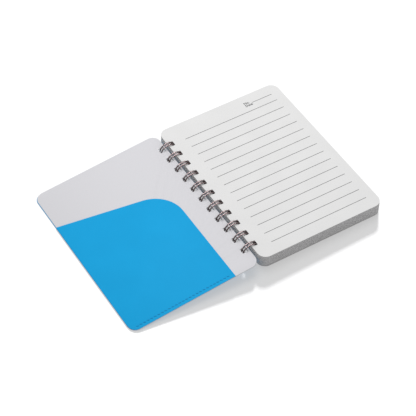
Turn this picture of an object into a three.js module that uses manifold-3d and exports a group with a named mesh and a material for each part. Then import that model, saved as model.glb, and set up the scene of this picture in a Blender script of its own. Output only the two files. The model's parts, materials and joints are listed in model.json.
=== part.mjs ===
// A pocket notebook on a twin-loop wire, lying open at its first leaf.
// Millimetres, +Z up, +X from the opened front cover to the leaves, +Y up the page.
// The origin is the middle of the bounding box, on the surface that the notebook lies on.
// The stack of leaves leans on the wire at the spine and on its fore edge, so it is tilted a little.
import * as THREE from "three";
import { mergeVertices } from "three/addons/utils/BufferGeometryUtils.js";
import Module from "manifold-3d";

// Driving dimensions
const LEAF_WIDTH = 77.6;
const LEAF_HEIGHT = 108;
const LEAF_CORNER = 5;
const LEAF_THICKNESS = 0.1;
const BUNDLES = 14;
const LEAVES_PER_BUNDLE = 5;
const MARGIN_WIDTH = 6.5; // the punched strip of leaf 1, inside its fold line
const AIR = 0.01; // between sheets that lie on each other
const BACK_THICKNESS = 0.5;

const PITCH = 25.4 / 3; // three loops to the inch
const LOOPS = 11;
const STRAND_SPACING = 1.7; // between the two strands of a loop
const WIRE_RADIUS = 0.38;
const RING_RADIUS = 4.76; // of the wire's middle line
const RING_INSET = -0.25; // ring centre from the leaves' spine edge
const RING_DEPTH = 3.66; // ring centre below the top leaf
const HOLE_WIDTH = 2.1;
const HOLE_HEIGHT = 3.3;
const HOLE_PLAY = 0.12; // least gap between wire and paper
const SEAM_ANGLE = 244; // degrees round the ring, where the loop tips meet the wire's back
const SEAM_HALF = 7; // degrees left open on each side of the seam

const COVER_WIDTH = 77.6;
const COVER_HEIGHT = 108.4;
const COVER_CORNER = 5;
const BOARD_THICKNESS = 0.24;
const SKIN_THICKNESS = 0.21;
const COVER_HOLE = [1, 4.2]; // from the cover's spine edge
const COVER_ON_WIRE = [3.2, 0.1]; // the wire's middle, from the spine edge and from the inner face
const COVER_RING_ANGLE = 157.5; // where the opened cover hangs on the ring, degrees

const FLAP_THICKNESS = 0.24;
const FLAP_LENGTH = 62.5; // from the free edge towards the spine
const FLAP_TALL = 82.4; // along the free edge
const FLAP_SLOPE = 12.9; // degrees that the mouth falls towards the spine
const FLAP_ROUND = 19; // the mouth's low corner
const FOLD_WIDTH = 0.28; // the wall where the flap folds round the free edge
const STITCH_INSET = 2; // stitch line above the bottom edge
const STITCH_START = 3.4; // first stitch from the free edge
const THREAD_WIDTH = 0.35;
const THREAD_THICKNESS = 0.12;

// Worked-out sizes
const degrees = THREE.MathUtils.degToRad;
const bundleThickness = LEAVES_PER_BUNDLE * LEAF_THICKNESS;
const blockHeight = BACK_THICKNESS + BUNDLES * (bundleThickness + AIR) + LEAF_THICKNESS + AIR;
const leafTop = LEAF_HEIGHT / 2; // every sheet is centred on y = 0
const coverTop = COVER_HEIGHT / 2;
const boardWidth = COVER_WIDTH - FOLD_WIDTH - AIR;
const coverThickness = BOARD_THICKNESS + AIR + SKIN_THICKNESS;
const ringInBlock = new THREE.Vector2(RING_INSET, blockHeight - RING_DEPTH);
const ringHeight = RING_RADIUS + WIRE_RADIUS;

// The tilt at which the ring and the fore edge both touch the surface.
function tiltOfBlock() {
  const along = LEAF_WIDTH - ringInBlock.x;
  const up = ringInBlock.y;
  return Math.asin(ringHeight / Math.hypot(along, up)) - Math.atan2(up, along);
}
const tilt = tiltOfBlock();

// A point of the block's frame (from the spine edge, above the underside) in the part's frame.
function blockToPart(x, up) {
  return new THREE.Vector2(
    LEAF_WIDTH - (LEAF_WIDTH - x) * Math.cos(tilt) + up * Math.sin(tilt),
    (LEAF_WIDTH - x) * Math.sin(tilt) + up * Math.cos(tilt),
  );
}
const ring = blockToPart(ringInBlock.x, ringInBlock.y);

// The opened cover hangs on the ring and its free edge touches the surface.
const hang = new THREE.Vector2(
  ring.x + RING_RADIUS * Math.cos(degrees(COVER_RING_ANGLE)),
  ring.y + RING_RADIUS * Math.sin(degrees(COVER_RING_ANGLE)),
);
function openAngle() {
  const along = COVER_WIDTH - COVER_ON_WIRE[0];
  const down = coverThickness - COVER_ON_WIRE[1];
  return Math.PI + Math.asin(hang.y / Math.hypot(along, down)) - Math.atan2(down, along);
}
const coverAngle = openAngle();
const flapFace = AIR + FLAP_THICKNESS; // above the cover's inner face
const freeEdgeX =
  hang.x +
  (COVER_WIDTH - COVER_ON_WIRE[0]) * Math.cos(coverAngle) +
  (COVER_ON_WIRE[1] + flapFace) * Math.sin(coverAngle);
const foreEdge = blockToPart(LEAF_WIDTH, blockHeight).x;
const centreX = (freeEdgeX + foreEdge) / 2;

// Materials
const paper = new THREE.MeshStandardMaterial({ color: 0xe6e6e6, roughness: 0.9, metalness: 0 });
const board = new THREE.MeshStandardMaterial({ color: 0xdad9de, roughness: 0.7, metalness: 0 });
const greyBoard = new THREE.MeshStandardMaterial({ color: 0xbdbbb8, roughness: 0.9, metalness: 0 });
const blueSheet = new THREE.MeshStandardMaterial({ color: 0x24a6e0, roughness: 0.55, metalness: 0 });
const thread = new THREE.MeshStandardMaterial({ color: 0x3b7fa8, roughness: 0.8, metalness: 0 });
const wire = new THREE.MeshStandardMaterial({ color: 0x2b211d, roughness: 0.35, metalness: 0.9 });

const wasm = await Module();
wasm.setup();

// A closed geometry as a manifold-3d solid.
function solidOf(geometry) {
  const bare = geometry.clone();
  bare.deleteAttribute("normal");
  bare.deleteAttribute("uv");
  const merged = mergeVertices(bare, 1e-4);
  return new wasm.Manifold(
    new wasm.Mesh({
      numProp: 3,
      vertProperties: new Float32Array(merged.attributes.position.array),
      triVerts: new Uint32Array(merged.index.array),
    }),
  );
}

function geometryOf(solid) {
  const mesh = solid.getMesh();
  const geometry = new THREE.BufferGeometry();
  geometry.setAttribute("position", new THREE.BufferAttribute(mesh.vertProperties, 3));
  geometry.setIndex(new THREE.BufferAttribute(mesh.triVerts, 1));
  geometry.computeVertexNormals();
  return geometry;
}

function named(name, geometry, material) {
  const mesh = new THREE.Mesh(geometry, material);
  mesh.name = name;
  return mesh;
}

// A rectangle whose two corners on each side have their own radius; a radius of 0 is a square corner.
function roundedSheet(left, right, bottom, top, leftRadius, rightRadius) {
  const shape = new THREE.Shape();
  shape.moveTo(left + leftRadius, bottom);
  shape.lineTo(right - rightRadius, bottom);
  if (rightRadius) {
    shape.absarc(right - rightRadius, bottom + rightRadius, rightRadius, -Math.PI / 2, 0);
  }
  shape.lineTo(right, top - rightRadius);
  if (rightRadius) {
    shape.absarc(right - rightRadius, top - rightRadius, rightRadius, 0, Math.PI / 2);
  }
  shape.lineTo(left + leftRadius, top);
  if (leftRadius) {
    shape.absarc(left + leftRadius, top - leftRadius, leftRadius, Math.PI / 2, Math.PI);
  }
  shape.lineTo(left, bottom + leftRadius);
  if (leftRadius) {
    shape.absarc(left + leftRadius, bottom + leftRadius, leftRadius, Math.PI, (3 * Math.PI) / 2);
  }
  return shape;
}

function loopY(index) {
  return (index - (LOOPS - 1) / 2) * PITCH;
}

function punch(shape, from, to) {
  for (let i = 0; i < LOOPS; i += 1) {
    const low = loopY(i) - HOLE_HEIGHT / 2;
    const high = loopY(i) + HOLE_HEIGHT / 2;
    const hole = new THREE.Path();
    hole.moveTo(from, low);
    hole.lineTo(from, high);
    hole.lineTo(to, high);
    hole.lineTo(to, low);
    hole.closePath();
    shape.holes.push(hole);
  }
  return shape;
}

function sheet(shape, low, high) {
  const geometry = new THREE.ExtrudeGeometry(shape, {
    depth: high - low,
    bevelEnabled: false,
    curveSegments: 6,
  });
  return geometry.translate(0, 0, low);
}

// Where the ring passes a layer of the block, so that its holes stay clear of the wire.
function holeSpan(low, high) {
  const inner = RING_RADIUS - WIRE_RADIUS;
  const outer = RING_RADIUS + WIRE_RADIUS;
  const farthest = Math.max(Math.abs(low - ringInBlock.y), Math.abs(high - ringInBlock.y));
  const crosses = (low - ringInBlock.y) * (high - ringInBlock.y) < 0;
  const nearest = crosses
    ? 0
    : Math.min(Math.abs(low - ringInBlock.y), Math.abs(high - ringInBlock.y));
  const to = ringInBlock.x + Math.sqrt(outer ** 2 - nearest ** 2) + HOLE_PLAY;
  const from = ringInBlock.x + Math.sqrt(inner ** 2 - farthest ** 2) - HOLE_PLAY;
  return [Math.min(from, to - HOLE_WIDTH), to];
}

function leafLayer(low, high) {
  const outline = roundedSheet(0, LEAF_WIDTH, -leafTop, leafTop, LEAF_CORNER, LEAF_CORNER);
  return sheet(punch(outline, ...holeSpan(low, high)), low, high);
}

// The back cover and the leaves, bottom to top, in the block's frame.
function makeBlock() {
  const block = new THREE.Group();
  block.add(named("back_cover_board", leafLayer(0, BACK_THICKNESS), greyBoard));
  let low = BACK_THICKNESS + AIR;
  for (let i = BUNDLES; i > 0; i -= 1) {
    const first = String(2 + (i - 1) * LEAVES_PER_BUNDLE).padStart(2, "0");
    const last = String(1 + i * LEAVES_PER_BUNDLE).padStart(2, "0");
    block.add(named(`leaves_${first}_to_${last}`, leafLayer(low, low + bundleThickness), paper));
    low += bundleThickness + AIR;
  }
  const top = low + LEAF_THICKNESS;
  const margin = roundedSheet(0, MARGIN_WIDTH - AIR, -leafTop, leafTop, LEAF_CORNER, 0);
  const panel = roundedSheet(MARGIN_WIDTH, LEAF_WIDTH, -leafTop, leafTop, 0, LEAF_CORNER);
  block.add(named("leaf_01_margin", sheet(punch(margin, ...holeSpan(low, top)), low, top), paper));
  block.add(named("leaf_01_panel", sheet(panel, low, top), paper));
  block.rotation.y = tilt;
  const corner = blockToPart(0, 0);
  block.position.set(corner.x, 0, corner.y);
  return block;
}

// The wire's middle line on the unrolled ring: x is the length round the ring, y runs along the spine.
function flatWire() {
  const half = STRAND_SPACING / 2;
  const start = RING_RADIUS * degrees(SEAM_ANGLE - 360 + SEAM_HALF) + half;
  const end = RING_RADIUS * degrees(SEAM_ANGLE - SEAM_HALF) - half;
  const path = new THREE.Path();
  path.moveTo(start - half, loopY(0) - half);
  for (let i = 0; i < LOOPS; i += 1) {
    const y = loopY(i);
    path.lineTo(end, y - half);
    path.absarc(end, y, half, -Math.PI / 2, Math.PI / 2);
    path.lineTo(start, y + half);
    if (i < LOOPS - 1) {
      const next = loopY(i + 1);
      path.absarc(start, y + 2 * half, half, -Math.PI / 2, -Math.PI, true);
      path.lineTo(start - half, next - 2 * half);
      path.absarc(start, next - 2 * half, half, Math.PI, Math.PI / 2, true);
    }
  }
  path.lineTo(start - half, loopY(LOOPS - 1) + half);
  return path;
}

// The same line rolled up round the ring's axis.
class RolledWire extends THREE.Curve {
  constructor(flat) {
    super();
    this.flat = flat;
    this.arcLengthDivisions = 6000;
  }
  getPoint(t, target = new THREE.Vector3()) {
    const p = this.flat.getPoint(t);
    const angle = p.x / RING_RADIUS;
    return target.set(RING_RADIUS * Math.cos(angle), p.y, RING_RADIUS * Math.sin(angle));
  }
}

function makeWire() {
  const flat = flatWire();
  const stepLength = 1.25;
  const section = new THREE.Shape();
  const sides = 6;
  for (let i = 0; i < sides; i += 1) {
    const angle = (i / sides) * 2 * Math.PI;
    const point = [WIRE_RADIUS * Math.cos(angle), WIRE_RADIUS * Math.sin(angle)];
    if (i === 0) {
      section.moveTo(...point);
    } else {
      section.lineTo(...point);
    }
  }
  section.closePath();
  const geometry = new THREE.ExtrudeGeometry(section, {
    steps: Math.round(flat.getLength() / stepLength),
    extrudePath: new RolledWire(flat),
    bevelEnabled: false,
  });
  const mesh = named("binding_wire", geometry, wire);
  mesh.position.set(ring.x, 0, ring.y);
  return mesh;
}

// The pocket flap's outline, with its x from the cover's spine edge.
function flapOutline() {
  const spineSide = COVER_WIDTH - FLAP_LENGTH;
  const slope = degrees(FLAP_SLOPE);
  const mouthY = FLAP_TALL - coverTop;
  const cornerY = mouthY - FLAP_LENGTH * Math.tan(slope);
  const tangent = FLAP_ROUND * Math.tan((Math.PI / 2 - slope) / 2);
  const shape = new THREE.Shape();
  const cornerX = COVER_WIDTH - COVER_CORNER;
  shape.moveTo(spineSide, -coverTop);
  shape.lineTo(cornerX, -coverTop);
  shape.absarc(cornerX, COVER_CORNER - coverTop, COVER_CORNER, -Math.PI / 2, 0);
  shape.lineTo(COVER_WIDTH, mouthY);
  shape.absarc(
    spineSide + FLAP_ROUND,
    cornerY - tangent,
    FLAP_ROUND,
    Math.PI / 2 + slope,
    Math.PI,
  );
  shape.closePath();
  return shape;
}

// The flap with the wall that folds round the board's free edge down to the skin.
function flapGeometry() {
  const panel = solidOf(sheet(flapOutline(), -flapFace, -AIR));
  const wall = new THREE.BoxGeometry(
    FOLD_WIDTH,
    FLAP_TALL - COVER_CORNER,
    FLAP_THICKNESS / 2 + AIR + BOARD_THICKNESS,
  );
  wall.translate(
    COVER_WIDTH - FOLD_WIDTH / 2,
    (FLAP_TALL + COVER_CORNER) / 2 - coverTop,
    (BOARD_THICKNESS - AIR - FLAP_THICKNESS / 2) / 2,
  );
  return geometryOf(panel.add(solidOf(wall)));
}

function threadStrip(low) {
  const from = COVER_WIDTH - FLAP_LENGTH;
  const to = COVER_WIDTH - STITCH_START;
  return new THREE.BoxGeometry(to - from, THREAD_WIDTH, THREAD_THICKNESS).translate(
    (from + to) / 2,
    STITCH_INSET - coverTop,
    low + THREAD_THICKNESS / 2,
  );
}

// The front cover in its own frame: x from its spine edge, z from its inner face outwards.
function makeCover() {
  const cover = new THREE.Group();
  const skinLow = BOARD_THICKNESS + AIR;
  const boardShape = roundedSheet(0, boardWidth, -coverTop, coverTop, COVER_CORNER, COVER_CORNER);
  const skinShape = roundedSheet(0, COVER_WIDTH, -coverTop, coverTop, COVER_CORNER, COVER_CORNER);
  punch(boardShape, ...COVER_HOLE);
  punch(skinShape, ...COVER_HOLE);
  cover.add(named("front_cover_board", sheet(boardShape, 0, BOARD_THICKNESS), board));
  cover.add(named("front_cover_skin", sheet(skinShape, skinLow, coverThickness), blueSheet));
  cover.add(named("pocket_flap", flapGeometry(), blueSheet));
  const needleLow = -flapFace - AIR - THREAD_THICKNESS;
  cover.add(named("pocket_needle_thread", threadStrip(needleLow), thread));
  cover.add(named("pocket_bobbin_thread", threadStrip(coverThickness + AIR), thread));
  cover.rotation.y = -coverAngle;
  const back = new THREE.Vector3(-COVER_ON_WIRE[0], 0, -COVER_ON_WIRE[1]);
  back.applyEuler(cover.rotation);
  cover.position.set(hang.x + back.x, 0, hang.y + back.z);
  return cover;
}

const notebook = new THREE.Group();
notebook.add(makeBlock(), makeWire(), makeCover());
notebook.position.x = -centreX;

export default notebook;
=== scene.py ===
"""A pocket notebook on a twin-loop wire, lying open at its first leaf.

The stack of leaves lies in the block's own frame: x from the spine edge, z from the underside.
The opened cover has its own frame: x from its spine edge, z from its inner face outwards.
The notebook's sizes are in millimetres. The places that the frame gives, the finished meshes,
the floor, the lights and the camera's distance are in metres.
"""

import json
import math
import random

import bmesh
import bpy
from mathutils import Matrix, Vector
from mathutils.geometry import tessellate_polygon


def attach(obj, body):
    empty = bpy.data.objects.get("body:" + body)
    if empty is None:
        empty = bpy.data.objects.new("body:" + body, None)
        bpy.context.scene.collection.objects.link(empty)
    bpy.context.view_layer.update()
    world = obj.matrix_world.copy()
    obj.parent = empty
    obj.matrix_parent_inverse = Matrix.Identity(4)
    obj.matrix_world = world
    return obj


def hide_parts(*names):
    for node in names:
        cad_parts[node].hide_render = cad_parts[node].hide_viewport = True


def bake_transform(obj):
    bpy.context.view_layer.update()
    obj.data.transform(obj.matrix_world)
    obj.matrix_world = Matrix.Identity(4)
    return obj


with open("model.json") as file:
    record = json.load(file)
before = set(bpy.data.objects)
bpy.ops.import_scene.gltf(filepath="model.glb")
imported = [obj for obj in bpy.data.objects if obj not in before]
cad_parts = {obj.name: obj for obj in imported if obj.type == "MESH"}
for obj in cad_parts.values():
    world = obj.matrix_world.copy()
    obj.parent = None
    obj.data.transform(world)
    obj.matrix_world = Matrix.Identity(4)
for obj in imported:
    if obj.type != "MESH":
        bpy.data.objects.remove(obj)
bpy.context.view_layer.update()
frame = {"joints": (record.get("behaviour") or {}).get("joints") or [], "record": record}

MM = 0.001
QUARTER_TURN = math.pi / 2
SEED = 11

# The sizes that the CAD part has
LEAF_WIDTH = 77.6
LEAF_HEIGHT = 108.0
CORNER = 5.0  # radius of the leaves' and the covers' corners
LEAF_THICKNESS = 0.1
BUNDLES = 14
LEAVES_PER_BUNDLE = 5
MARGIN_WIDTH = 6.5  # the punched strip of leaf 1
AIR = 0.01  # between sheets that lie on each other
BACK_THICKNESS = 0.5
PITCH = 25.4 / 3  # three loops to the inch
LOOPS = 11
STRAND_SPACING = 1.7  # between the two strands of a loop
WIRE_RADIUS = 0.38
RING_RADIUS = 4.76  # of the wire's middle line
RING_INSET = -0.25  # ring centre from the leaves' spine edge
RING_DEPTH = 3.66  # ring centre below the top leaf
HOLE_WIDTH = 2.1
HOLE_HEIGHT = 3.3
HOLE_PLAY = 0.12  # least gap between wire and paper
SEAM_ANGLE = 244.0  # degrees round the ring, where the loop tips meet the wire's back
SEAM_HALF = 7.0  # degrees left open on each side of the seam
COVER_WIDTH = 77.6
COVER_HEIGHT = 108.4
BOARD_THICKNESS = 0.24
SKIN_THICKNESS = 0.21
COVER_HOLE = (1.0, 4.2)  # from the cover's spine edge
COVER_ON_WIRE = (3.2, 0.1)  # the wire's middle, from the spine edge and from the inner face
FLAP_THICKNESS = 0.24
FLAP_LENGTH = 62.5  # from the free edge towards the spine
FLAP_TALL = 82.4  # along the free edge
FLAP_SLOPE = 12.9  # degrees that the mouth falls towards the spine
FLAP_ROUND = 19.0  # the mouth's low corner
STITCH_INSET = 2.0  # stitch line above the bottom edge
STITCH_START = 3.4  # first stitch from the free edge

BUNDLE_THICKNESS = LEAVES_PER_BUNDLE * LEAF_THICKNESS
BLOCK_HEIGHT = BACK_THICKNESS + BUNDLES * (BUNDLE_THICKNESS + AIR) + LEAF_THICKNESS + AIR
COVER_THICKNESS = BOARD_THICKNESS + AIR + SKIN_THICKNESS
FLAP_FACE = AIR + FLAP_THICKNESS
RING_UP = BLOCK_HEIGHT - RING_DEPTH

# Places that the frame gives
JOINTS = {joint["name"]: joint for joint in frame["joints"]}
BACK_AXIS = frame["record"]["mounts"][0]["axis"]
TILT = math.asin(-BACK_AXIS[0])
RING = Vector(JOINTS["wire_turn"]["pos_m"])
FOLD = Vector(JOINTS["leaf_1_bend"]["pos_m"])
HANG = Vector(JOINTS["front_cover_tilt"]["pos_m"])


def block_matrix():
    """The block is tilted like its back face, and leaf 1's fold lies where the frame has it."""
    turn = Matrix.Rotation(TILT, 4, "Y")
    fold_in_block = Vector((MARGIN_WIDTH, 0, BLOCK_HEIGHT)) * MM
    return Matrix.Translation(FOLD - turn @ fold_in_block) @ turn


def cover_matrix():
    """The opened cover hangs on the wire, and its free edge lies on the floor."""
    along = (COVER_WIDTH - COVER_ON_WIRE[0]) * MM
    down = (COVER_THICKNESS - COVER_ON_WIRE[1]) * MM
    angle = math.pi + math.asin(HANG.z / math.hypot(along, down)) - math.atan2(down, along)
    turn = Matrix.Rotation(-angle, 4, "Y")
    pivot = Vector((COVER_ON_WIRE[0], 0, COVER_ON_WIRE[1])) * MM
    return Matrix.Translation(HANG - turn @ pivot) @ turn


BLOCK = block_matrix()
COVER = cover_matrix()


# Materials
UV_MM = 200.0  # one UV unit is this many millimetres
RULES = 14
RULE_PITCH = 6.745
RULE_LOW = 7.85 - LEAF_HEIGHT / 2  # the lowest rule
RULE_SPAN = (10.6, 71.75)  # from the spine edge
RULE_HALF_WIDTH = 0.15
DATE_Y = 100.9 - LEAF_HEIGHT / 2
DATE_SPAN = (58.0, 71.5)  # from the spine edge
PAPER = (0.775, 0.773, 0.772)
INK = (0.09, 0.09, 0.095)
EDGE_STREAK = 25.0  # length of the streaks on a cut edge
BLUE_LOW = (0.0055, 0.365, 0.73)
BLUE_HIGH = (0.0065, 0.385, 0.765)
# the darker blue painted into the grain's creases, as painted shade
BLUE_CREASE_SHADE = (0.005, 0.34, 0.69)
GRAIN_WANDER = 0.5  # how far the grain's cells are pulled about
PEBBLE_RIM = 0.12  # how far a pebble of the grain slopes in from its crease
PEBBLE_GAIN = 8.0  # brings the pebbles' height to about one


def shade(colour, factor):
    """A lighter or darker shade of a colour."""
    return tuple(channel * factor for channel in colour)


def grey(value):
    return (value, value, value)


class Shader:
    """A material whose nodes are added one by one."""

    def __init__(self, name):
        self.material = bpy.data.materials.new(name)
        self.material.use_nodes = True
        self.nodes = self.material.node_tree.nodes
        self.links = self.material.node_tree.links
        self.bsdf = self.nodes["Principled BSDF"]

    def feed(self, socket, value):
        """Links the socket to an output, or sets it to a plain value."""
        if isinstance(value, bpy.types.NodeSocket):
            self.links.new(value, socket)
        else:
            socket.default_value = value

    def operate(self, kind, operation, values):
        node = self.nodes.new(kind)
        node.operation = operation
        for socket, value in zip(node.inputs, values):
            self.feed(socket, value)
        return node.outputs[0]

    def math(self, operation, *values):
        return self.operate("ShaderNodeMath", operation, values)

    def vector(self, operation, *values):
        return self.operate("ShaderNodeVectorMath", operation, values)

    def between(self, value, low, high):
        above = self.math("GREATER_THAN", value, low)
        below = self.math("LESS_THAN", value, high)
        return self.math("MULTIPLY", above, below)

    def distance(self, value, place):
        return self.math("ABSOLUTE", self.math("SUBTRACT", value, place))

    def uv_in_mm(self):
        uv = self.nodes.new("ShaderNodeUVMap")
        uv.uv_map = "mm"
        return self.vector("MULTIPLY", uv.outputs["UV"], (UV_MM, UV_MM, UV_MM))

    def place(self):
        return self.nodes.new("ShaderNodeTexCoord").outputs["Object"]

    def noise(self, vector, scale, detail, roughness=0.5, output="Fac"):
        node = self.nodes.new("ShaderNodeTexNoise")
        node.inputs["Scale"].default_value = scale
        node.inputs["Detail"].default_value = detail
        node.inputs["Roughness"].default_value = roughness
        self.links.new(vector, node.inputs["Vector"])
        return node.outputs[output]

    def ramp(self, fac, *stops):
        """A colour ramp with two stops, each a position and a colour."""
        node = self.nodes.new("ShaderNodeValToRGB")
        for element, (position, colour) in zip(node.color_ramp.elements, stops):
            element.position = position
            element.color = (*colour, 1)
        self.links.new(fac, node.inputs["Fac"])
        return node.outputs["Color"]

    def mix(self, fac, first, second):
        """Blends two colours. Sockets 6 and 7 and output 2 are the Mix node's colours."""
        node = self.nodes.new("ShaderNodeMix")
        node.data_type = "RGBA"
        self.feed(node.inputs[0], fac)
        self.feed(node.inputs[6], first)
        self.feed(node.inputs[7], second)
        return node.outputs[2]

    def bump(self, height, strength, distance_mm):
        node = self.nodes.new("ShaderNodeBump")
        node.inputs["Strength"].default_value = strength
        node.inputs["Distance"].default_value = distance_mm * MM
        self.links.new(height, node.inputs["Height"])
        self.links.new(node.outputs["Normal"], self.bsdf.inputs["Normal"])

    def surface(self, values):
        """Feeds the sockets of the surface itself, by name."""
        for name, value in values.items():
            self.feed(self.bsdf.inputs[name], value)


def print_mask(shader, mm):
    """1 on the ruled lines and on the short line for the date, 0 beside them."""
    split = shader.nodes.new("ShaderNodeSeparateXYZ")
    shader.links.new(mm, split.inputs[0])
    x, y = split.outputs["X"], split.outputs["Y"]
    row = shader.math("DIVIDE", shader.math("SUBTRACT", y, RULE_LOW), RULE_PITCH)
    nearest = shader.math("ROUND", row)
    on_rule = shader.math("LESS_THAN", shader.distance(row, nearest), RULE_HALF_WIDTH / RULE_PITCH)
    in_rows = shader.between(nearest, -0.5, RULES - 0.5)
    in_span = shader.between(x, *RULE_SPAN)
    rules = shader.math("MULTIPLY", on_rule, shader.math("MULTIPLY", in_rows, in_span))
    on_date = shader.math("LESS_THAN", shader.distance(y, DATE_Y), RULE_HALF_WIDTH)
    date = shader.math("MULTIPLY", on_date, shader.between(x, *DATE_SPAN))
    return shader.math("MAXIMUM", rules, date)


def paper_material():
    shader = Shader("paper")
    mm = shader.uv_in_mm()
    fibre = shader.noise(mm, scale=1.6, detail=4, roughness=0.7)
    cloud = shader.noise(mm, scale=0.06, detail=2)
    tone = shader.math("MULTIPLY", shader.math("ADD", fibre, cloud), 0.5)
    paper = shader.ramp(tone, (0.35, shade(PAPER, 0.975)), (0.65, shade(PAPER, 1.02)))
    shader.surface({
        "Base Color": shader.mix(print_mask(shader, mm), paper, (*INK, 1)),
        "Roughness": 0.82,
        "Specular IOR Level": 0.3,
    })
    shader.bump(fibre, strength=0.25, distance_mm=0.03)
    return shader.material


def ink_material():
    """The ink of the lettering, a little uneven."""
    shader = Shader("ink")
    grain = shader.noise(shader.place(), scale=9000.0, detail=2)
    tone = shader.ramp(grain, (0.3, (0.06, 0.06, 0.063)), (0.7, (0.12, 0.12, 0.125)))
    shader.surface({"Base Color": tone, "Roughness": 0.7})
    return shader.material


def edge_material(name, colour, layer):
    """Cut edges of stacked sheets: thin layers of slightly different tone, with the fuzz of the cut."""
    shader = Shader(name)
    along = 1 / (EDGE_STREAK * MM)
    stretched = shader.vector("MULTIPLY", shader.place(), (along, along, 1 / (layer * MM)))
    layers = shader.noise(stretched, scale=1.0, detail=3, roughness=0.6)
    shader.surface({
        "Base Color": shader.ramp(layers, (0.35, shade(colour, 0.86)), (0.65, shade(colour, 1.12))),
        "Roughness": 0.95,
        "Specular IOR Level": 0.15,
    })
    shader.bump(layers, strength=0.3, distance_mm=0.04)
    return shader.material


def board_material(name, colour, speckle, roughness):
    """Card with fine flecks, lighter and darker by the share speckle."""
    shader = Shader(name)
    mm = shader.uv_in_mm()
    fine = shader.noise(mm, scale=1.1, detail=5, roughness=0.65)
    flecks = shader.noise(mm, scale=4.0, detail=2)
    tone = shader.math("MULTIPLY_ADD", flecks, 0.4, shader.math("MULTIPLY", fine, 0.6))
    low, high = shade(colour, 1 - speckle), shade(colour, 1 + speckle)
    shader.surface({
        "Base Color": shader.ramp(tone, (0.38, low), (0.62, high)),
        "Roughness": roughness,
        "Specular IOR Level": 0.35,
    })
    shader.bump(fine, strength=0.2, distance_mm=0.03)
    return shader.material


def leatherette_material():
    """Blue sheet with a fine pebbled grain, with painted shade in the grain's creases."""
    shader = Shader("blue_leatherette")
    mm = shader.uv_in_mm()
    wander = shader.noise(mm, scale=0.9, detail=2, output="Color")
    cells = shader.nodes.new("ShaderNodeTexVoronoi")
    cells.feature = "DISTANCE_TO_EDGE"
    cells.inputs["Scale"].default_value = 2.6
    warped = shader.vector("MULTIPLY_ADD", wander, (GRAIN_WANDER, GRAIN_WANDER, GRAIN_WANDER), mm)
    shader.links.new(warped, cells.inputs["Vector"])
    pebble = shader.math("MINIMUM", cells.outputs["Distance"], PEBBLE_RIM)
    height = shader.math("MULTIPLY", pebble, PEBBLE_GAIN)
    cloud = shader.noise(mm, scale=0.05, detail=3)
    body = shader.ramp(cloud, (0.35, BLUE_LOW), (0.65, BLUE_HIGH))
    # Painted shade: the grain's creases are coloured darker than the pebbles' tops.
    crease = shader.ramp(height, (0.0, BLUE_CREASE_SHADE), (0.5, BLUE_HIGH))
    shader.surface({
        "Base Color": shader.mix(0.35, body, crease),
        "Roughness": 0.6,
        "Specular IOR Level": 0.12,
    })
    shader.bump(height, strength=0.15, distance_mm=0.05)
    return shader.material


def thread_material():
    """Twisted thread."""
    shader = Shader("thread")
    wave = shader.nodes.new("ShaderNodeTexWave")
    wave.bands_direction = "DIAGONAL"
    wave.inputs["Scale"].default_value = 1.6
    wave.inputs["Distortion"].default_value = 0.6
    shader.links.new(shader.uv_in_mm(), wave.inputs["Vector"])
    twist = wave.outputs["Fac"]
    shader.surface({
        "Base Color": shader.ramp(twist, (0.0, (0.01, 0.2, 0.43)), (1.0, (0.016, 0.32, 0.62))),
        "Roughness": 0.75,
        "Specular IOR Level": 0.2,
    })
    shader.bump(twist, strength=0.6, distance_mm=0.05)
    return shader.material


def wire_material():
    """Dark bronze-coloured wire under a thin coat, slightly scuffed."""
    shader = Shader("bronze_wire")
    scuff = shader.noise(shader.uv_in_mm(), scale=2.2, detail=4, roughness=0.6)
    shader.surface({
        "Base Color": shader.ramp(scuff, (0.35, (0.055, 0.036, 0.037)), (0.7, (0.1, 0.072, 0.072))),
        "Roughness": shader.ramp(scuff, (0.3, grey(0.29)), (0.75, grey(0.36))),
        "Metallic": 0.85,
        "Coat Weight": 0.4,
        "Coat Roughness": 0.15,
    })
    return shader.material


EDGES = {
    # The paper's edge is coloured far darker than the paper's face: painted shade for the block's sides,
    # which the lamps hardly reach.
    "paper": edge_material("paper_edge_painted_shade", colour=(0.40, 0.395, 0.40), layer=0.1),
    "grey_board": edge_material("board_edge", colour=(0.37, 0.365, 0.365), layer=0.2),
    "white_board": edge_material("cover_edge", colour=(0.5, 0.5, 0.51), layer=0.2),
    "blue_sheet": edge_material("sheet_edge", colour=(0.55, 0.56, 0.58), layer=0.1),
}
MATERIALS = {
    "paper": paper_material(),
    "grey_board": board_material("grey_board", (0.42, 0.41, 0.395), speckle=0.10, roughness=0.85),
    "white_board": board_material("white_board", (0.695, 0.69, 0.72), speckle=0.012, roughness=0.6),
    "blue_sheet": leatherette_material(),
    "thread": thread_material(),
    "wire": wire_material(),
}
INK_MATERIAL = ink_material()


# Mesh helpers
CORNER_STEPS = 10
HOLE_CORNER = 0.35  # radius of a punched hole's corners
HOLE_CORNER_STEPS = 3
RIM_MIDDLE = 0.3  # a rounded rim's middle ring, as a share of the rounding: 1 - cos 45 degrees
SHEET_CREASE = 35  # degrees between faces above which a sheet's edge is sharp
TUBE_CREASE = 60  # and a tube's


def arc(cx, cy, radius, start, end, steps):
    span = (end - start) / steps
    angles = [start + span * i for i in range(steps + 1)]
    return [(cx + radius * math.cos(angle), cy + radius * math.sin(angle)) for angle in angles]


def rounded(left, right, low, high, radius, inset, steps=CORNER_STEPS):
    """A rectangle with round corners, pulled in by inset, anticlockwise."""
    left, right, low, high = left + radius, right - radius, low + radius, high - radius
    points = []
    start = -math.pi
    for x, y in ((left, low), (right, low), (right, high), (left, high)):
        points += arc(x, y, radius - inset, start, start + QUARTER_TURN, steps)
        start += QUARTER_TURN
    return points


def loop_y(index):
    return (index - (LOOPS - 1) / 2) * PITCH


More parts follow.
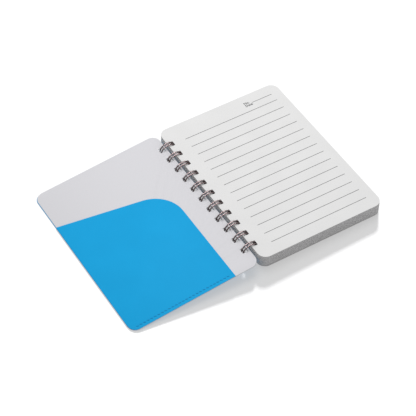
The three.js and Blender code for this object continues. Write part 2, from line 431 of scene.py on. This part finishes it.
def hole_rings(span, inset):
    """The punched holes, which widen where the sheet's outline is pulled in."""
    half = HOLE_HEIGHT / 2
    rings = []
    for y in map(loop_y, range(LOOPS)):
        rings.append(rounded(*span, y - half, y + half, HOLE_CORNER, -inset, HOLE_CORNER_STEPS))
    return rings


def rim_rings(low, high, rim):
    """The inset and the height of each ring of a sheet's wall, whose rims are rounded by rim."""
    if not rim:
        return [(0, low), (0, high)]
    middle = RIM_MIDDLE * rim
    lower = [(rim, low), (middle, low + middle), (0, low + rim)]
    upper = [(0, high - rim), (middle, high - middle), (rim, high)]
    return lower + upper


def add_sheet(bm, outline, holes, low, high, rim, shift=(0, 0), cut=True):
    """Adds one flat sheet. outline and holes are functions of an inset, and cut gives its walls
    the look of a cut edge."""
    layers = []
    for inset, z in rim_rings(low, high, rim):
        layer = []
        for loop in [outline(inset), *holes(inset)]:
            places = [((x + shift[0]) * MM, (y + shift[1]) * MM, z * MM) for x, y in loop]
            layer.append([bm.verts.new(place) for place in places])
        layers.append(layer)
    for below, above in zip(layers, layers[1:]):
        for which, (first, second) in enumerate(zip(below, above)):
            count = len(first)
            for i in range(count):
                after = (i + 1) % count
                quad = [first[i], first[after], second[after], second[i]]
                wall = bm.faces.new(quad if which == 0 else quad[::-1])
                wall.material_index = int(cut)
    for layer, up in ((layers[0], False), (layers[-1], True)):
        verts = [vert for loop in layer for vert in loop]
        for triangle in tessellate_polygon([[vert.co.xy.to_3d() for vert in loop] for loop in layer]):
            a, b, c = (verts[i] for i in triangle)
            is_up = (b.co - a.co).cross(c.co - a.co).z > 0
            bm.faces.new((a, b, c) if is_up == up else (c, b, a))


def finish_mesh(bm, name, crease):
    """Flat UVs with UV_MM to the unit, smooth faces and sharp edges where the surface turns."""
    bm.normal_update()
    uv = bm.loops.layers.uv.new("mm")
    for face in bm.faces:
        face.smooth = True
        for loop in face.loops:
            loop[uv].uv = (loop.vert.co.x / MM / UV_MM, loop.vert.co.y / MM / UV_MM)
    for edge in bm.edges:
        if len(edge.link_faces) == 2 and edge.calc_face_angle() > math.radians(crease):
            edge.smooth = False
    mesh = bpy.data.meshes.new(name)
    bm.to_mesh(mesh)
    bm.free()
    return mesh


def put(name, bm, matrix, slot, nodes, crease=SHEET_CREASE):
    """Makes a piece that stands for CAD nodes, and gives it its finish."""
    mesh = finish_mesh(bm, name, crease)
    mesh.transform(matrix)
    mesh.materials.append(MATERIALS[slot])
    if any(face.material_index for face in mesh.polygons):
        mesh.materials.append(EDGES[slot])
    piece = bpy.data.objects.new(name, mesh)
    bpy.context.scene.collection.objects.link(piece)
    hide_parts(*nodes)
    return piece


def tube(bm, points, radius, sides):
    """A round tube along points, with closed ends, its normals carried along from one point to the next."""
    points = [Vector(point) for point in points]
    normal = (points[1] - points[0]).normalized().orthogonal().normalized()
    rings = []
    for i, point in enumerate(points):
        ahead = points[min(i + 1, len(points) - 1)] - points[max(i - 1, 0)]
        ahead.normalize()
        normal = (normal - ahead * normal.dot(ahead)).normalized()
        side = ahead.cross(normal)
        ring = []
        for k in range(sides):
            angle = 2 * math.pi * k / sides
            ring.append(bm.verts.new(point + radius * (math.cos(angle) * normal + math.sin(angle) * side)))
        rings.append(ring)
    for first, second in zip(rings, rings[1:]):
        for k in range(sides):
            after = (k + 1) % sides
            bm.faces.new([first[k], first[after], second[after], second[k]])
    bm.faces.new(rings[0][::-1])
    bm.faces.new(rings[-1])


# The block of leaves
BODY_OF_BUNDLE = ["leaves_upper"] * 4 + ["leaves_middle"] * 5 + ["leaves_lower"] * 5  # from the top down
BACK_RIM = 0.1
LOOSE_GAP = 0.008  # between the leaves of a bundle
LOOSE_SHIFTS = (0.05, 0.11)  # the most that a leaf lies out of line, across and along the spine
BEND = (MARGIN_WIDTH + 0.1, MARGIN_WIDTH + 4.1)  # the stretch of leaf 1 that bends
BEND_STEPS = 16


def bundle_top(index):
    """The height of a bundle's upper face in the block."""
    return BLOCK_HEIGHT - LEAF_THICKNESS - AIR - index * (BUNDLE_THICKNESS + AIR)


def first_leaf(index):
    """The number of a bundle's top leaf, with bundle 0 right under leaf 1."""
    return 2 + index * LEAVES_PER_BUNDLE


def hole_span(low, high):
    """Where the ring passes a layer of the block."""
    inner, outer = RING_RADIUS - WIRE_RADIUS, RING_RADIUS + WIRE_RADIUS
    farthest = max(abs(low - RING_UP), abs(high - RING_UP))
    crosses = (low - RING_UP) * (high - RING_UP) < 0
    nearest = 0 if crosses else min(abs(low - RING_UP), abs(high - RING_UP))
    right = RING_INSET + math.sqrt(outer**2 - nearest**2) + HOLE_PLAY
    left = RING_INSET + math.sqrt(inner**2 - farthest**2) - HOLE_PLAY
    return min(left, right - HOLE_WIDTH), right


def leaf_outline(inset):
    return rounded(0, LEAF_WIDTH, -LEAF_HEIGHT / 2, LEAF_HEIGHT / 2, CORNER, inset)


def add_leaf(bm, low, high, span, rim=0, shift=(0, 0)):
    add_sheet(bm, leaf_outline, lambda inset: hole_rings(span, inset), low, high, rim, shift)


def make_back_cover():
    bm = bmesh.new()
    add_leaf(bm, 0, BACK_THICKNESS, hole_span(0, BACK_THICKNESS), BACK_RIM)
    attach(put("back_cover", bm, BLOCK, "grey_board", ["back_cover_board"]), "back_cover")


def make_bundle(index):
    """Five loose leaves, each a little out of line with the next."""
    draw = random.Random(SEED + index)
    high = bundle_top(index)
    low = high - BUNDLE_THICKNESS
    span = hole_span(low, high)
    bm = bmesh.new()
    for i in range(LEAVES_PER_BUNDLE):
        bottom = low + i * LEAF_THICKNESS + LOOSE_GAP / 2
        shift = [draw.uniform(-most, most) for most in LOOSE_SHIFTS]
        add_leaf(bm, bottom, bottom + LEAF_THICKNESS - LOOSE_GAP, span, shift=shift)
    first = first_leaf(index)
    node = f"leaves_{first:02d}_to_{first + LEAVES_PER_BUNDLE - 1:02d}"
    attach(put(f"loose_{node}", bm, BLOCK, "paper", [node]), BODY_OF_BUNDLE[index])


def make_leaf_1():
    """One flat sheet, cut into narrow strips beside the wire where leaf 1's fold lies."""
    low = BLOCK_HEIGHT - LEAF_THICKNESS
    bm = bmesh.new()
    add_leaf(bm, low, BLOCK_HEIGHT, hole_span(low, BLOCK_HEIGHT))
    for i in range(BEND_STEPS + 1):
        x = (BEND[0] + (BEND[1] - BEND[0]) * i / BEND_STEPS) * MM
        everything = bm.verts[:] + bm.edges[:] + bm.faces[:]
        bmesh.ops.bisect_plane(bm, geom=everything, plane_co=(x, 0, 0), plane_no=(1, 0, 0))
    leaf = put("leaf_01", bm, BLOCK, "paper", ["leaf_01_margin", "leaf_01_panel"])
    start, end = (BLOCK @ (Vector((x, 0, BLOCK_HEIGHT)) * MM) for x in BEND)
    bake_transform(leaf)
    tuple(start)
    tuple(end)


# The printed label beside the date line
LABEL = "No.\nDate"
LABEL_X = 53.3  # from the spine edge
LABEL_TOP = 101.3 - LEAF_HEIGHT / 2
LABEL_SIZE = 2.35
LABEL_LINE_SPACING = 0.85
LABEL_WEIGHT = 0.05  # added all round each stroke
LABEL_LIFT = 0.012  # over the paper


def make_label(name, top, body):
    """Lettering turned into a thin mesh over the paper, whose upper face is at top."""
    curve = bpy.data.curves.new(name, "FONT")
    curve.body = LABEL
    curve.size = LABEL_SIZE * MM
    curve.space_line = LABEL_LINE_SPACING
    curve.offset = LABEL_WEIGHT * MM
    probe = bpy.data.objects.new(name, curve)
    bpy.context.scene.collection.objects.link(probe)
    depsgraph = bpy.context.evaluated_depsgraph_get()
    mesh = bpy.data.meshes.new_from_object(probe.evaluated_get(depsgraph))
    bpy.data.objects.remove(probe)
    mesh.transform(Matrix.Translation(Vector((LABEL_X, LABEL_TOP, top + LABEL_LIFT)) * MM))
    mesh.transform(BLOCK)
    mesh.materials.clear()
    mesh.materials.append(INK_MATERIAL)
    label = bpy.data.objects.new(name, mesh)
    bpy.context.scene.collection.objects.link(label)
    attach(label, body)


def make_labels():
    """Labels leaf 1 and the top leaf of each section that turns."""
    make_label("label_leaf_01", BLOCK_HEIGHT, "leaf_1_panel")
    for index, body in enumerate(BODY_OF_BUNDLE):
        if BODY_OF_BUNDLE.index(body) == index:
            make_label(f"label_leaf_{first_leaf(index):02d}", bundle_top(index), body)


# The wire
WIRE_STEP = 0.55  # between points along the wire
WIRE_SIDES = 18
LOOP_TIP_STEPS = 9
LOOP_BACK_STEPS = 6


def flat_wire():
    """The wire's middle line on the unrolled ring, as (length round the ring, y)."""
    half = STRAND_SPACING / 2
    start = RING_RADIUS * math.radians(SEAM_ANGLE - 360 + SEAM_HALF) + half
    end = RING_RADIUS * math.radians(SEAM_ANGLE - SEAM_HALF) - half
    back = start - half
    points = []

    def straight(x0, y0, x1, y1):
        count = max(1, round(math.hypot(x1 - x0, y1 - y0) / WIRE_STEP))
        for i in range(count):
            points.append((x0 + (x1 - x0) * i / count, y0 + (y1 - y0) * i / count))

    straight(back, loop_y(0) - half, start, loop_y(0) - half)
    for y in map(loop_y, range(LOOPS)):
        straight(start, y - half, end, y - half)
        points.extend(arc(end, y, half, -QUARTER_TURN, QUARTER_TURN, LOOP_TIP_STEPS)[:-1])
        straight(end, y + half, start, y + half)
        if y < loop_y(LOOPS - 1):
            low, high = y + 2 * half, y + PITCH - 2 * half
            points.extend(arc(start, low, half, -QUARTER_TURN, -math.pi, LOOP_BACK_STEPS)[:-1])
            straight(back, low, back, high)
            points.extend(arc(start, high, half, math.pi, QUARTER_TURN, LOOP_BACK_STEPS)[:-1])
        else:
            straight(start, y + half, back, y + half)
            points.append((back, y + half))
    return points


def make_wire():
    """The flat wire rolled up round the ring's axis, as a round tube."""
    points = []
    for length, y in flat_wire():
        angle = length / RING_RADIUS
        points.append((RING_RADIUS * math.cos(angle) * MM, y * MM, RING_RADIUS * math.sin(angle) * MM))
    bm = bmesh.new()
    tube(bm, points, WIRE_RADIUS * MM, WIRE_SIDES)
    place = Matrix.Translation(RING)
    wire = put("twin_loop_wire", bm, place, "wire", ["binding_wire"], TUBE_CREASE)
    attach(wire, "wire")
    return wire


# The front cover
COVER_RIM = 0.07
FLAP_RIM = 0.08
FLAP_ROUND_STEPS = 20
FOLD_STEPS = (10, 6)  # round the outside and round the inside of the fold


def cover_outline(width):
    return lambda inset: rounded(0, width, -COVER_HEIGHT / 2, COVER_HEIGHT / 2, CORNER, inset)


def flap_outline(reach):
    """The pocket flap, with its free edge at reach."""

    def outline(inset):
        spine = COVER_WIDTH - FLAP_LENGTH + inset
        low = -COVER_HEIGHT / 2 + inset
        right = reach - inset
        slope = math.radians(FLAP_SLOPE)
        mouth = FLAP_TALL - COVER_HEIGHT / 2 - inset / math.cos(slope)
        radius = FLAP_ROUND - inset
        tangent = radius * math.tan((QUARTER_TURN - slope) / 2)
        round_y = mouth - (right - spine) * math.tan(slope) - tangent
        corner = CORNER - (COVER_WIDTH - reach) - inset
        points = [(spine, low)]
        points += arc(right - corner, low + corner, corner, -QUARTER_TURN, 0, CORNER_STEPS)
        points.append((right, mouth))
        points += arc(spine + radius, round_y, radius, QUARTER_TURN + slope, math.pi, FLAP_ROUND_STEPS)
        return points

    return outline


def cover_holes(inset):
    return hole_rings(COVER_HOLE, inset)


def no_holes(inset):
    return []


def add_fold(bm, x, low, high, inner, outer):
    """The half-round strip where the blue sheet turns round the free edge."""
    middle = (inner + outer) / 2
    radius = (outer - inner) / 2
    section = arc(x, middle, radius, -QUARTER_TURN, QUARTER_TURN, FOLD_STEPS[0])
    section += arc(x, middle, radius - FLAP_THICKNESS, QUARTER_TURN, -QUARTER_TURN, FOLD_STEPS[1])
    first, last = (
        [bm.verts.new((px * MM, y * MM, pz * MM)) for px, pz in section] for y in (low, high)
    )
    count = len(section)
    for i in range(count):
        after = (i + 1) % count
        bm.faces.new([first[i], last[i], last[after], first[after]])
    bm.faces.new(first)
    bm.faces.new(last[::-1])


def make_cover():
    """The board, the blue skin outside it, and the pocket that is folded in at the free edge."""
    skin_low = BOARD_THICKNESS + AIR
    reach = COVER_WIDTH - (COVER_THICKNESS + FLAP_FACE) / 2
    sheets = (
        ("cover_board", "white_board", "front_cover_board", reach, 0, BOARD_THICKNESS),
        ("cover_skin", "blue_sheet", "front_cover_skin", COVER_WIDTH, skin_low, COVER_THICKNESS),
    )
    for name, slot, node, width, low, high in sheets:
        bm = bmesh.new()
        add_sheet(bm, cover_outline(width), cover_holes, low, high, COVER_RIM)
        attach(put(name, bm, COVER, slot, [node]), "front_cover")
    bm = bmesh.new()
    add_sheet(bm, flap_outline(reach), no_holes, -FLAP_FACE, -AIR, FLAP_RIM, cut=False)
    bottom, top = CORNER - COVER_HEIGHT / 2, FLAP_TALL - COVER_HEIGHT / 2
    add_fold(bm, reach, bottom, top, -FLAP_FACE, BOARD_THICKNESS)
    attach(put("pocket", bm, COVER, "blue_sheet", ["pocket_flap"]), "front_cover")


# The stitches that close the pocket
STITCH_PITCH = 2.1
STITCH_LENGTH = 1.3
STITCH_STOP = 0.4  # the row's end, from the flap's spine side
STITCH_SLANT = 0.2  # half of what a stitch climbs
STITCH_ARCH = 0.17  # height of a stitch over its own ends
STITCH_DIP = 0.1  # depth of its ends in the sheet
STITCH_STEPS = 8
SLANT_PLAY = 0.03  # the most that one stitch's slant differs
PLACE_PLAY = 0.04  # and its place
THREAD_RADIUS = 0.18
THREAD_SIDES = 8


def stitch_places():
    first = COVER_WIDTH - STITCH_START
    last = COVER_WIDTH - FLAP_LENGTH + STITCH_STOP
    count = int((first - last) / STITCH_PITCH)
    return [first - STITCH_PITCH * (i + 0.5) for i in range(count)]


def add_stitch(bm, x, y, face, away, slant):
    """One arched stitch whose ends dip into the sheet."""
    points = []
    for i in range(STITCH_STEPS + 1):
        t = i / STITCH_STEPS * 2 - 1
        lift = (1 - t**4) * STITCH_ARCH - STITCH_DIP
        points.append(((x + t * STITCH_LENGTH / 2) * MM, (y + t * slant) * MM, (face + away * lift) * MM))
    tube(bm, points, THREAD_RADIUS * MM, THREAD_SIDES)


def make_stitches():
    """One row of stitches, seen on the pocket's side and on the cover's outside."""
    y = STITCH_INSET - COVER_HEIGHT / 2
    sides = (
        ("needle_stitches", "pocket_needle_thread", -FLAP_FACE, -1),
        ("bobbin_stitches", "pocket_bobbin_thread", COVER_THICKNESS, 1),
    )
    for name, node, face, away in sides:
        draw = random.Random(SEED)
        bm = bmesh.new()
        for x in stitch_places():
            slant = STITCH_SLANT + draw.uniform(-SLANT_PLAY, SLANT_PLAY)
            add_stitch(bm, x + draw.uniform(-PLACE_PLAY, PLACE_PLAY), y, face, away, slant)
        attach(put(name, bm, COVER, "thread", [node], TUBE_CREASE), "front_cover")


# Floor, lights and camera
FLOOR_HALF = 6.0  # from the middle to a side
FLOOR_GLOW = 0.43
FLOOR_TONE = (0.25, 0.25, 0.252)
CAMERA_AZIMUTH = -31.607
CAMERA_ELEVATION = 48.809
CAMERA_TARGET = Vector((-0.814, -2.081, 0)) * MM
CAMERA_DISTANCE = 0.86137
SENSOR = 36.0  # width, in millimetres like the focal length
FOCAL = 137.0925
FILL = 0.64  # strength of the white room
TOP_AZIMUTH = CAMERA_AZIMUTH + 180
TOP_ELEVATION = 72.0
TOP_DISTANCE = 0.5
TOP_SIZE = 0.35
TOP_POWER = 1.03
LOW_AZIMUTH = CAMERA_AZIMUTH + 175
LOW_ELEVATION = 31.0
LOW_STRENGTH = 9.6
LOW_SOFTNESS = 8.0  # degrees across
STRIP_HEIGHT = 0.4
STRIP_SIZE = (0.7, 0.12)
STRIP_POWER = 12.0


def direction(azimuth, elevation):
    """A unit vector from the notebook; azimuth 0 is its bottom edge's side, and 90 its right."""
    a, e = math.radians(azimuth), math.radians(elevation)
    return Vector((math.sin(a) * math.cos(e), -math.cos(a) * math.cos(e), math.sin(e)))


def make_floor():
    """A pale floor that glows a little, which keeps the shadow on it even."""
    shader = Shader("floor")
    shader.surface({
        "Base Color": (*FLOOR_TONE, 1),
        "Emission Color": (1, 1, 1, 1),
        "Emission Strength": FLOOR_GLOW,
        "Roughness": 0.9,
        "Specular IOR Level": 0.1,
    })
    mesh = bpy.data.meshes.new("floor")
    half = FLOOR_HALF
    corners = [(-half, -half, 0), (half, -half, 0), (half, half, 0), (-half, half, 0)]
    mesh.from_pydata(corners, [], [(0, 1, 2, 3)])
    mesh.materials.append(shader.material)
    floor = bpy.data.objects.new("floor", mesh)
    bpy.context.scene.collection.objects.link(floor)
    return floor


def add_light(name, kind, energy, towards, distance=0):
    """A light that shines from towards at the middle of the notebook."""
    data = bpy.data.lights.new(name, kind)
    data.energy = energy
    light = bpy.data.objects.new(name, data)
    bpy.context.scene.collection.objects.link(light)
    light.location = towards * distance
    light.rotation_euler = towards.to_track_quat("Z", "Y").to_euler()
    return light


def shine_only_on(light, obj):
    """Keeps a light off everything else."""
    lit = bpy.data.collections.new(f"lit_by_{light.name}")
    lit.objects.link(obj)
    light.light_linking.receiver_collection = lit


def make_lights(floor, wire):
    """A white room, a soft light overhead, a low one for the shadow and a strip that the wire mirrors."""
    world = bpy.data.worlds.new("studio")
    bpy.context.scene.world = world
    world.use_nodes = True
    background = world.node_tree.nodes["Background"]
    background.inputs["Color"].default_value = (1, 1, 1, 1)
    background.inputs["Strength"].default_value = FILL
    overhead = direction(TOP_AZIMUTH, TOP_ELEVATION)
    top = add_light("top_light", "AREA", TOP_POWER, overhead, TOP_DISTANCE)
    top.data.shape = "DISK"
    top.data.size = TOP_SIZE
    low = add_light("low_light", "SUN", LOW_STRENGTH, direction(LOW_AZIMUTH, LOW_ELEVATION))
    low.data.angle = math.radians(LOW_SOFTNESS)
    shine_only_on(low, floor)
    strip = add_light("strip_light", "AREA", STRIP_POWER, Vector((0, 0, 1)), STRIP_HEIGHT)
    strip.data.shape = "RECTANGLE"
    strip.data.size, strip.data.size_y = STRIP_SIZE
    shine_only_on(strip, wire)


def make_camera():
    data = bpy.data.cameras.new("camera")
    data.sensor_width = SENSOR
    data.lens = FOCAL
    data.clip_start = 0.01
    data.clip_end = 20
    camera = bpy.data.objects.new("camera", data)
    bpy.context.scene.collection.objects.link(camera)
    back = direction(CAMERA_AZIMUTH, CAMERA_ELEVATION)
    right = direction(CAMERA_AZIMUTH + 90, 0)
    up = back.cross(right)
    turn = Matrix((right, up, back)).transposed().to_4x4()
    camera.matrix_world = Matrix.Translation(CAMERA_TARGET + back * CAMERA_DISTANCE) @ turn
    bpy.context.scene.camera = camera


bpy.context.scene.view_settings.view_transform = "Standard"
make_camera()
make_back_cover()
for index in range(BUNDLES):
    make_bundle(index)
make_leaf_1()
make_lights(make_floor(), make_wire())
make_cover()
make_stitches()
make_labels()
